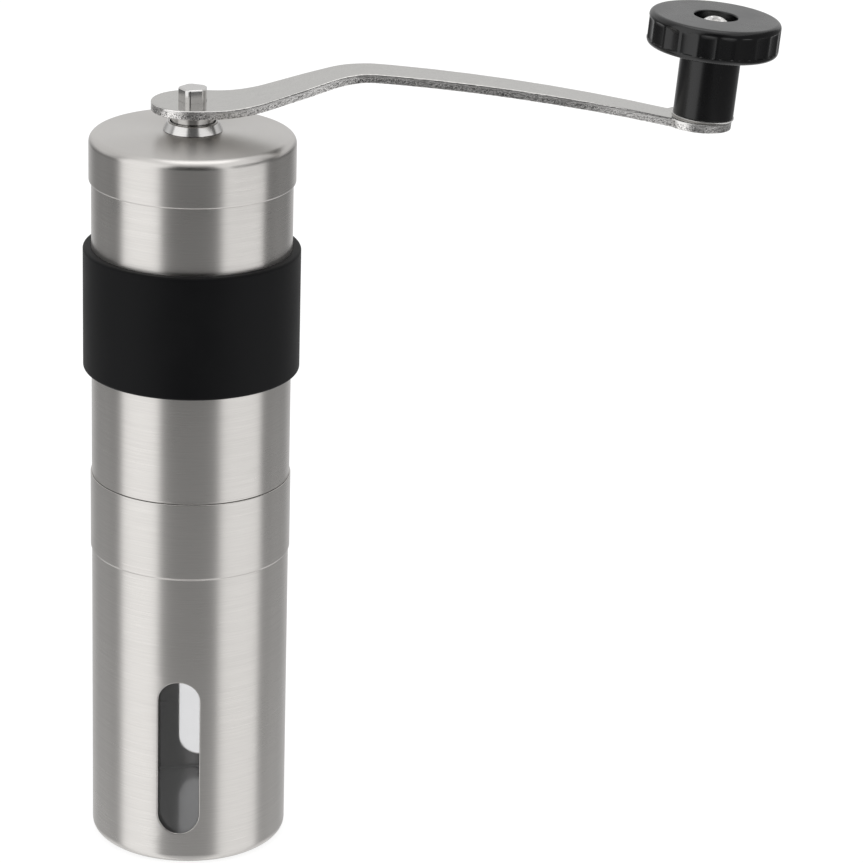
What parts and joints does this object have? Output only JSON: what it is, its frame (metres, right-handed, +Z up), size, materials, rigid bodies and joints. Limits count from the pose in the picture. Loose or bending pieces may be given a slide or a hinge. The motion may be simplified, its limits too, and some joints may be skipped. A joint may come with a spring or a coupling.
{
  "type": "hand crank coffee grinder",
  "caption": "Slim steel hand coffee grinder: slotted catch cup, hopper tube with silicone grip, conical burrs, lid and bent crank with a black knob.",
  "frame": {"origin": "middle of the flat base of the catch cup, on the axis of the body", "axes": "+Z up along the body; +X from the shaft towards the knob with the crank at rest; -Y is the side with the view slot nearer the front"},
  "size_m": [0.161, 0.051, 0.2066],
  "materials": {
    "brushed_steel": "fine circumferential brushing",
    "polished_steel": "polished",
    "stamped_steel": "satin faces with rough cut edges",
    "clear_plastic": "clear moulded plastic",
    "silicone": "matt black silicone",
    "black_plastic": "fine moulded matt",
    "gloss_black_plastic": "gloss moulded",
    "ceramic": "fired ceramic, fine matt",
    "brass": "turned"
  },
  "bodies": {
    "cup": {"catch_cup": "brushed_steel", "cup_liner": "clear_plastic"},
    "hopper": {"hopper_tube": "brushed_steel", "grip_band": "silicone", "burr_housing": "black_plastic", "ring_burr": "ceramic", "burr_retainer": "black_plastic", "lower_bush": "brass", "shaft_bridge": "black_plastic", "upper_bush": "brass"},
    "lid": {"cap_shell": "brushed_steel", "cap_neck": "polished_steel", "cap_insert": "black_plastic"},
    "shaft": {"drive_shaft": "polished_steel", "shaft_collar": "polished_steel", "thrust_washer": "polished_steel", "retaining_clip": "polished_steel", "spring_washer": "polished_steel", "burr_spring": "polished_steel"},
    "burr_carriage": {"cone_burr": "ceramic", "burr_carrier": "black_plastic"},
    "adjuster": {"adjuster_dial": "black_plastic", "dial_nut": "brass"},
    "crank": {"crank_arm": "stamped_steel", "knob_washer": "polished_steel", "knob_screw": "polished_steel"},
    "knob": {"crank_knob": "gloss_black_plastic"}
  },
  "joints": [
    {"name": "hopper_pull", "type": "slide", "parent": "cup", "child": "hopper", "axis": [0, 0, 1], "range_m": [0, 0.045]},
    {"name": "lid_lift", "type": "slide", "parent": "hopper", "child": "lid", "axis": [0, 0, 1], "range_m": [0, 0.0301]},
    {"name": "shaft_spin", "type": "hinge", "parent": "hopper", "child": "shaft", "pos_m": [0, 0, 0.1], "axis": [0, 0, 1], "continuous": true},
    {"name": "crank_lift", "type": "slide", "parent": "shaft", "child": "crank", "axis": [0, 0, 1], "range_m": [0, 0.06]},
    {"name": "knob_spin", "type": "hinge", "parent": "crank", "child": "knob", "pos_m": [0.1184, 0, 0.18159], "axis": [0.0767, 0, 0.9971], "continuous": true},
    {"name": "burr_adjust", "type": "slide", "parent": "shaft", "child": "burr_carriage", "axis": [0, 0, -1], "range_m": [0, 0.00121], "deforming": ["burr_spring"]},
    {"name": "dial_turn", "type": "hinge", "parent": "burr_carriage", "child": "adjuster", "pos_m": [0, 0, 0.07], "axis": [0, 0, -1], "range_deg": [0, 540]}
  ],
  "couplings": [
    {"joint": "lid_lift", "follows": "crank_lift", "ratio": 0.5},
    {"joint": "burr_adjust", "follows": "dial_turn", "m_per_rad": 0.00012732}
  ]
}
